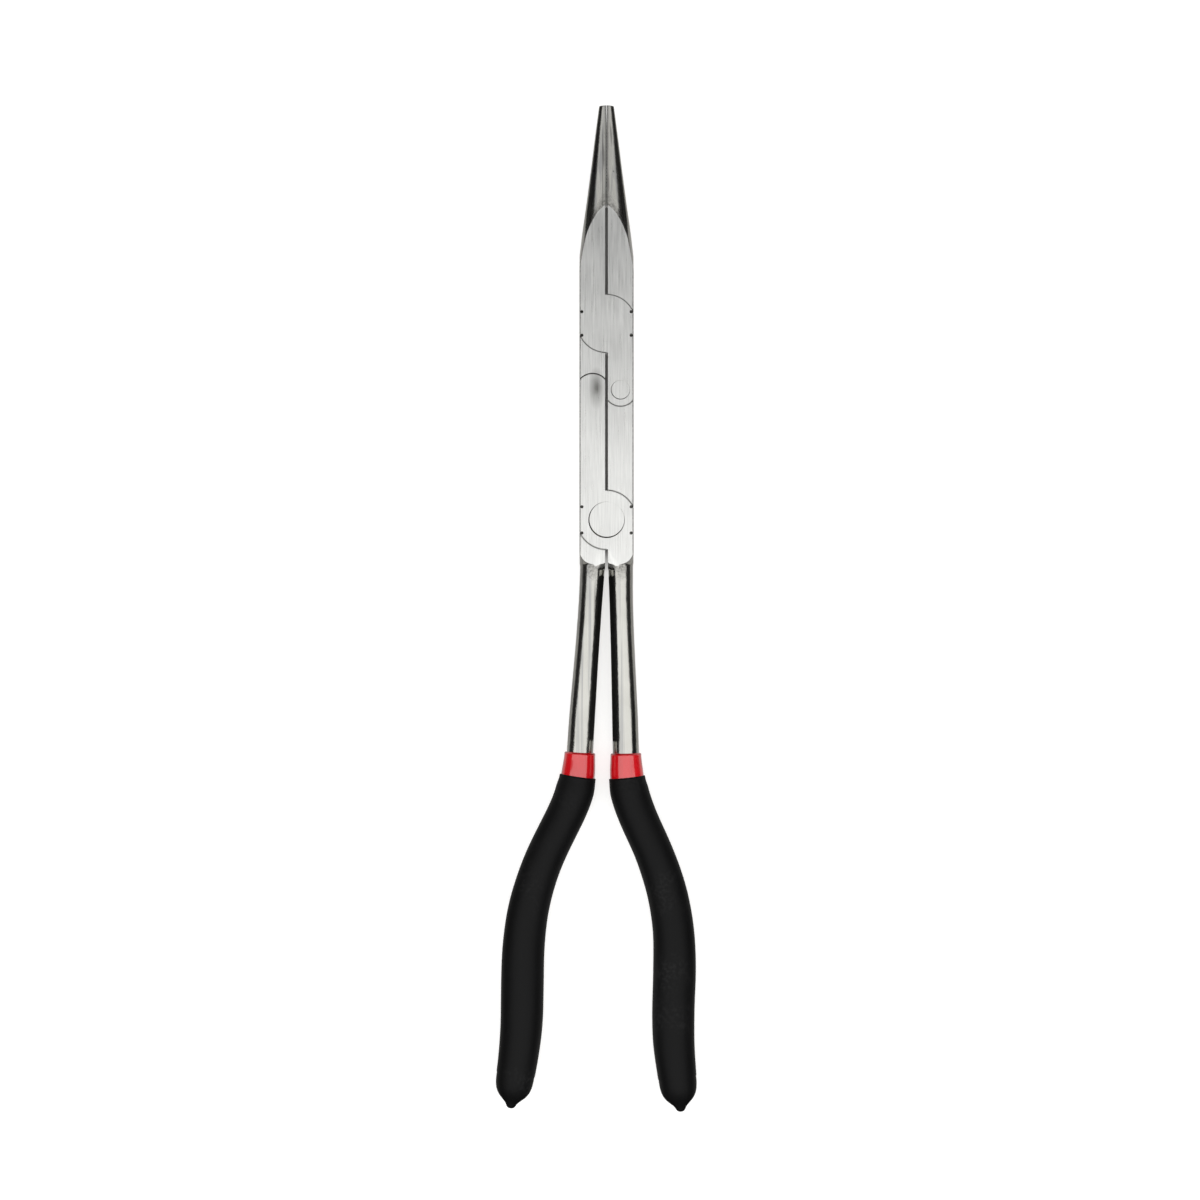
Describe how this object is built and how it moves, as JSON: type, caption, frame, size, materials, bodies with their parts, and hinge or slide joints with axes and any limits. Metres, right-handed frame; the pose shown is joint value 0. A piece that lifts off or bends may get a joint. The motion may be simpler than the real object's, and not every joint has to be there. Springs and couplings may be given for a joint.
{
  "type": "long-reach needle-nose pliers",
  "caption": "Double-jointed long-reach needle-nose pliers: toothed half-round jaws, flat riveted compound head, slim round shanks and bowed dipped grips.",
  "frame": {"origin": "on the handle pivot's axis, in the head's flat back face", "axes": "+Y from the grips to the jaw tips, +X to the right, +Z out of the head's front face"},
  "size_m": [0.0694, 0.3405, 0.0128],
  "materials": {
    "polished_steel": "ground flats and polished round shanks",
    "brushed_steel": "ground flats and polished taper",
    "rivet_steel": "ground flush with the head",
    "red_vinyl": "glossy dipped vinyl",
    "black_vinyl": "satin dipped vinyl"
  },
  "bodies": {
    "left_handle": {"left_handle_lever": "polished_steel", "handle_pivot_rivet": "rivet_steel", "right_link_rivet": "rivet_steel", "left_red_sleeve": "red_vinyl", "left_grip": "black_vinyl"},
    "right_handle": {"right_handle_lever": "polished_steel", "left_link_rivet": "rivet_steel", "right_red_sleeve": "red_vinyl", "right_grip": "black_vinyl"},
    "left_jaw": {"left_jaw_lever": "brushed_steel", "jaw_pivot_rivet": "rivet_steel"},
    "right_jaw": {"right_jaw_lever": "brushed_steel"}
  },
  "joints": [
    {"name": "handle_pivot", "type": "hinge", "parent": "left_handle", "child": "right_handle", "pos_m": [0, 0, 0.005], "axis": [0, 0, 1], "range_deg": [0, 20]},
    {"name": "link_pivot", "type": "hinge", "parent": "left_handle", "child": "left_jaw", "pos_m": [0.0047, 0.0438, 0.005], "axis": [0, 0, 1], "range_deg": [0, 30.3]},
    {"name": "jaw_pivot", "type": "hinge", "parent": "left_jaw", "child": "right_jaw", "pos_m": [0, 0.0662, 0.005], "axis": [0, 0, -1], "range_deg": [0, 40.5]}
  ],
  "couplings": [
    {"joint": "link_pivot", "follows": "handle_pivot", "ratio": 1.51},
    {"joint": "jaw_pivot", "follows": "handle_pivot", "ratio": 2.02}
  ]
}
